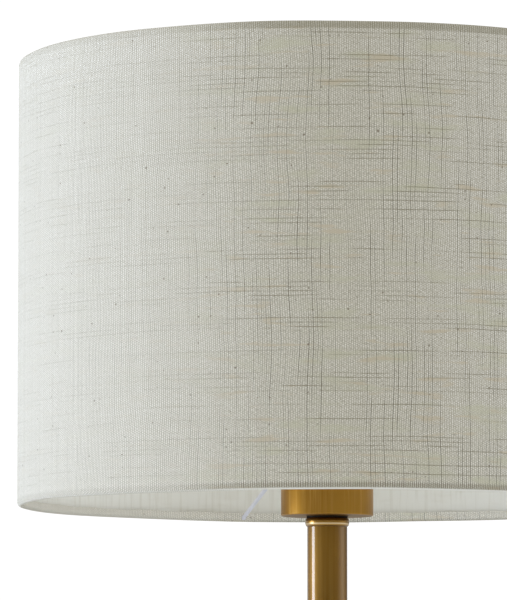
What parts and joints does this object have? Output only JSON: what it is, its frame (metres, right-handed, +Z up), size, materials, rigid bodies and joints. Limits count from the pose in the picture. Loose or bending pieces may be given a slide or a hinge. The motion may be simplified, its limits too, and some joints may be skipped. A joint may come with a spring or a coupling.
{
  "type": "tripod table lamp",
  "caption": "Brass table lamp: a round stem on a splayed tripod carries a turn-switch screw socket with a bulb, inside a linen drum shade that is open above and below.",
  "frame": {"origin": "on the table, under the lamp's axis, in the middle of the footprint", "axes": "+Z up along the stem; -Y is the front, from which the picture was taken; +X is to the right"},
  "size_m": [0.3555, 0.3556, 0.6619],
  "materials": {
    "satin_brass": "satin, antique gold, lacquered",
    "bare_brass": "bare, bright",
    "plated_steel": "zinc plated",
    "rubber": "matte black",
    "black_plastic": "moulded, satin black",
    "grey_plastic": "moulded",
    "white_plastic": "moulded, white",
    "fibre": "vulcanised fibre",
    "linen": "slubby plain weave",
    "white_liner": "matte, warm white sheet",
    "white_wire": "white powder coat",
    "frosted_globe": "frosted",
    "cap_metal": "bright"
  },
  "bodies": {
    "stand": {"hub": "satin_brass", "leg_1": "satin_brass", "leg_2": "satin_brass", "leg_3": "satin_brass", "foot_tip_1": "rubber", "foot_tip_2": "rubber", "foot_tip_3": "rubber", "leg_grub_screws": "plated_steel", "hub_plug": "satin_brass", "cord_bushing": "black_plastic", "stem_tube": "satin_brass", "stem_collar": "satin_brass", "lamp_pipe": "plated_steel", "pipe_nuts": "plated_steel", "pipe_washers": "plated_steel", "socket_cup": "satin_brass", "base_bushing": "plated_steel", "bushing_grub": "plated_steel", "socket_base": "black_plastic", "socket_body": "black_plastic", "base_screws": "plated_steel", "terminal_plates": "bare_brass", "terminal_screws": "bare_brass", "screw_shell": "bare_brass", "shell_insulator": "fibre", "centre_contact": "bare_brass", "contact_leaf": "bare_brass", "shaft_bushing": "bare_brass", "ring_nut": "black_plastic"},
    "shade": {"shade_cover": "linen", "shade_liner": "white_liner", "bottom_ring": "white_wire", "top_ring": "white_wire", "fitter_ring": "white_wire", "fitter_arm_1": "white_wire", "fitter_arm_2": "white_wire", "fitter_arm_3": "white_wire"},
    "switch": {"switch_shaft": "bare_brass", "switch_cam": "grey_plastic", "turn_knob": "black_plastic"},
    "bulb": {"bulb_globe": "frosted_globe", "bulb_collar": "white_plastic", "bulb_cap": "cap_metal", "bulb_insulator": "black_plastic", "bulb_tip": "bare_brass"}
  },
  "joints": [
    {"name": "knob_turn", "type": "hinge", "parent": "stand", "child": "switch", "pos_m": [0, 0, 0.43], "axis": [0, -1, 0], "continuous": true},
    {"name": "shade_turn", "type": "hinge", "parent": "stand", "child": "shade", "pos_m": [0, 0, 0.4556], "axis": [0, 0, 1], "continuous": true},
    {"name": "bulb_lift", "type": "slide", "parent": "stand", "child": "bulb", "axis": [0, 0, 1], "range_m": [0, 0.028]}
  ]
}
